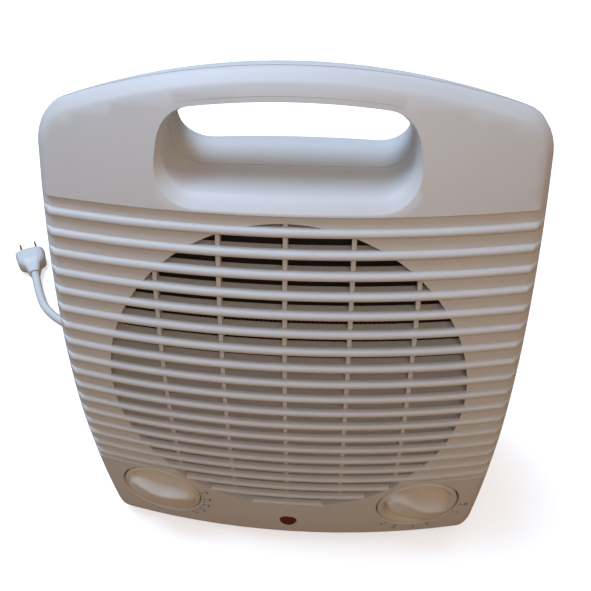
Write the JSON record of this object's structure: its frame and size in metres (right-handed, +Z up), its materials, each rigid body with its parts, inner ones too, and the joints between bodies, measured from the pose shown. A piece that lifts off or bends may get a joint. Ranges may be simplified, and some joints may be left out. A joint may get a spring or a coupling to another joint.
{
  "type": "ceramic space heater",
  "caption": "Compact tabletop ceramic fan heater with a carry slot through its bowed top, a round louvred outlet in a ribbed front, and turning thermostat and mode knobs.",
  "frame": {"origin": "on the surface that the heater stands on, under the middle of the body (the free cord left out)", "axes": "+Z up, outlet facing -Y, +X to the right of a person who faces the outlet"},
  "size_m": [0.3741, 0.2717, 0.2535],
  "materials": {
    "shell": "fine moulded satin off-white ABS",
    "knobs": "satin off-white ABS",
    "black_plastic": "matte glass-filled nylon",
    "heatproof": "matte heat-resistant resin",
    "element": "heat-stained fins",
    "steel": "zinc plated",
    "aluminium": "pressed",
    "copper": "enamelled copper winding",
    "bronze": "sintered bronze",
    "white_fittings": "glazed or nylon white",
    "lens": "dark red transparent lens",
    "rubber": "matte",
    "cord": "white flexible PVC",
    "brass": "nickel-free brass blades"
  },
  "bodies": {
    "root": {"front_shell": "shell", "rear_shell": "shell", "thermostat_body": "steel", "rotary_switch_body": "black_plastic", "pilot_lens": "lens", "pilot_lamp": "white_fittings", "element_frame": "heatproof", "ptc_element": "element", "fan_duct": "black_plastic", "motor_core": "steel", "motor_coil": "copper", "front_bracket": "aluminium", "rear_bracket": "aluminium", "front_bush": "bronze", "rear_bush": "bronze", "left_motor_post": "steel", "right_motor_post": "steel", "thermal_cutout": "steel", "thermal_fuse": "white_fittings", "tip_over_switch": "black_plastic", "terminal_block": "white_fittings", "cord_clamp": "white_fittings", "case_screw_low_left": "steel", "case_screw_low_right": "steel", "case_screw_high_left": "steel", "case_screw_high_right": "steel", "foot_front_left": "rubber", "foot_front_right": "rubber", "foot_rear_left": "rubber", "foot_rear_right": "rubber", "strain_relief": "cord", "cord_inner_end": "cord", "cord_lead": "cord", "cord_coil": "cord", "cord_tail": "cord", "plug_body": "cord", "plug_blade_left": "brass", "plug_blade_right": "brass"},
    "fan": {"impeller": "black_plastic", "motor_shaft": "steel", "motor_rotor": "steel"},
    "thermostat_dial": {"thermostat_knob": "knobs", "thermostat_spindle": "steel"},
    "mode_dial": {"mode_knob": "knobs", "mode_spindle": "steel"}
  },
  "joints": [
    {"name": "fan_spin", "type": "hinge", "parent": "root", "child": "fan", "pos_m": [0, 0.007, 0.1211], "axis": [0, 1, 0], "continuous": true},
    {"name": "thermostat_turn", "type": "hinge", "parent": "root", "child": "thermostat_dial", "pos_m": [-0.0695, -0.05751, 0.0398], "axis": [-0.1466, -0.9868, -0.0681], "range_deg": [-135, 135]},
    {"name": "mode_turn", "type": "hinge", "parent": "root", "child": "mode_dial", "pos_m": [0.0695, -0.05751, 0.0398], "axis": [0.1466, -0.9868, -0.0681], "range_deg": [-135, 0]}
  ]
}
